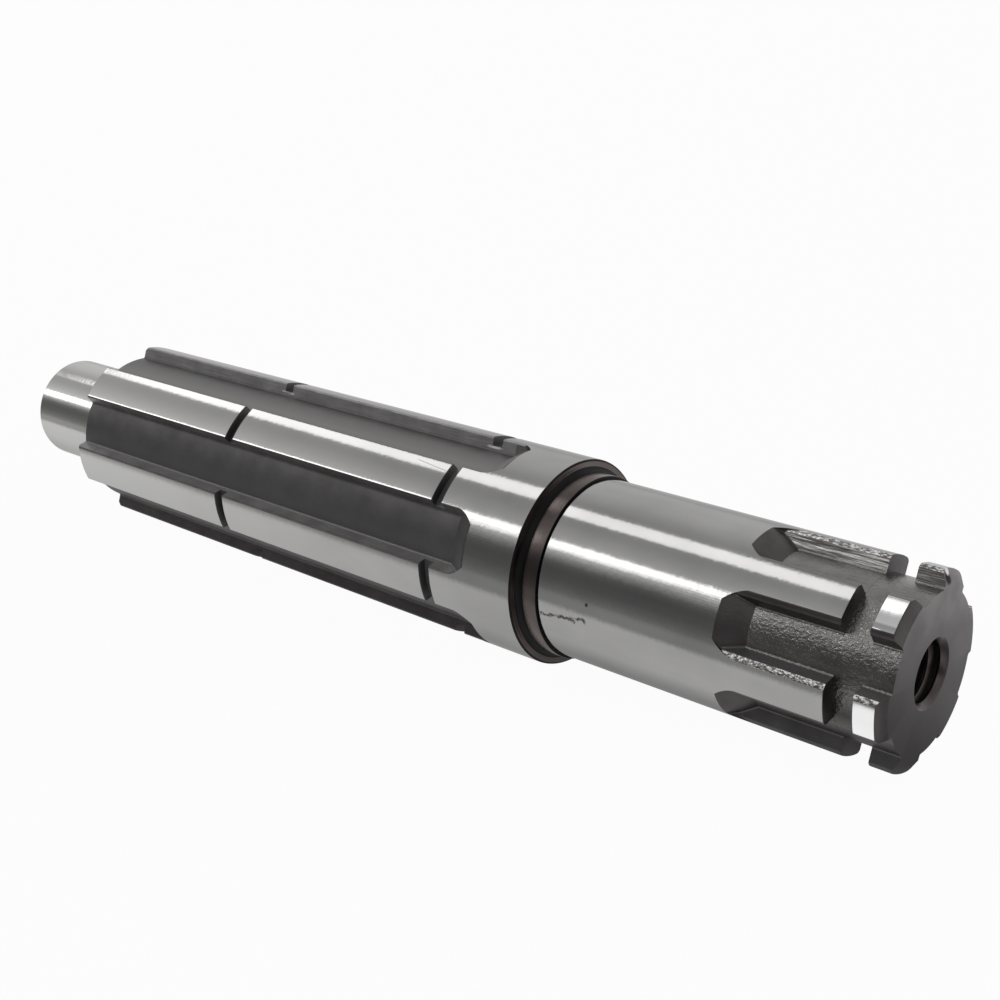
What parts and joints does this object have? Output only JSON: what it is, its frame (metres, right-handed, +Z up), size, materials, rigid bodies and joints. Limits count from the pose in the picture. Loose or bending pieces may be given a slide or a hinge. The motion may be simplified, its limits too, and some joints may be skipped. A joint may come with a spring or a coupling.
{
  "type": "transmission countershaft",
  "caption": "Splined motorcycle gearbox countershaft with a long gear spline, ground journals and short output splines with a retainer groove.",
  "frame": {"origin": "centre of the bounding box in plan, at the level of the surface the shaft lies on", "axes": "+X along the shaft from the small journal to the output splines, +Z up, one gap of the gear splines downwards"},
  "size_m": [0.1352, 0.0232, 0.0233],
  "materials": {
    "steel": "ground bearing surfaces, dark hardened spline gaps"
  },
  "bodies": {
    "root": {"countershaft": "steel"}
  },
  "joints": []
}
